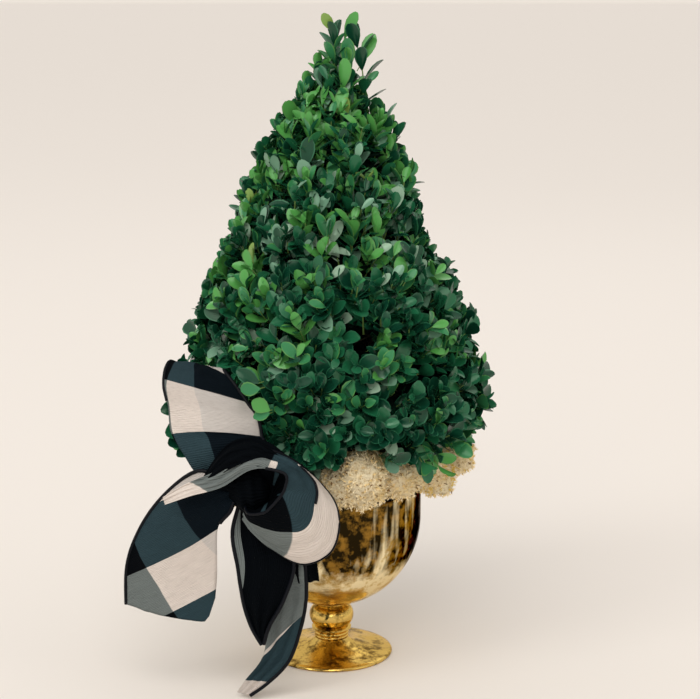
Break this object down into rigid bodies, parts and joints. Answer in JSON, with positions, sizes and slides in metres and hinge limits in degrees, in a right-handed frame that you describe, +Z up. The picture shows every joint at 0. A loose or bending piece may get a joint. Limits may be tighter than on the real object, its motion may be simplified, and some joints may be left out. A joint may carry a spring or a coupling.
{
  "type": "boxwood cone topiary",
  "caption": "Clipped boxwood cone with a wispy tip, in a footed gilt glass goblet with a moss collar and a checked ribbon bow at the front left.",
  "frame": {"origin": "centre of the flat underside of the goblet's foot", "axes": "+Z up, along the goblet and the plant; -Y is the dressed side, with the bow in front and to the left (-X)"},
  "size_m": [0.2853, 0.2789, 0.5235],
  "materials": {
    "gilt_glass": "silvered from inside and tinted gold, opaque, gloss, with worn mottling",
    "soil": "damp potting mix, rough",
    "bark": "rough grey-brown bark",
    "moss": "dried reindeer moss, matt",
    "ribbon": "woven black and cream check with a wired edge",
    "pick": "plain round stick",
    "foliage": "small glossy leaves"
  },
  "bodies": {
    "root": {"goblet_foot": "gilt_glass", "goblet_knop": "gilt_glass", "goblet_bowl": "gilt_glass", "soil": "soil", "trunk": "bark", "moss_front": "moss", "moss_front_right": "moss", "moss_right": "moss", "moss_back_right": "moss", "moss_back": "moss", "moss_back_left": "moss", "moss_left": "moss", "moss_front_left": "moss", "bow_knot": "ribbon", "bow_loop_left": "ribbon", "bow_loop_right": "ribbon", "bow_tail_left": "ribbon", "bow_tail_middle": "ribbon", "bow_tail_long": "ribbon", "bow_pick": "pick", "crown_skirt_front": "foliage", "crown_skirt_right": "foliage", "crown_skirt_back": "foliage", "crown_skirt_left": "foliage", "crown_lower_front": "foliage", "crown_lower_right": "foliage", "crown_lower_back": "foliage", "crown_lower_left": "foliage", "crown_middle_front": "foliage", "crown_middle_right": "foliage", "crown_middle_left": "foliage", "crown_upper_front": "foliage", "crown_upper_back": "foliage", "crown_spire": "foliage", "crown_leader": "foliage"}
  },
  "joints": []
}
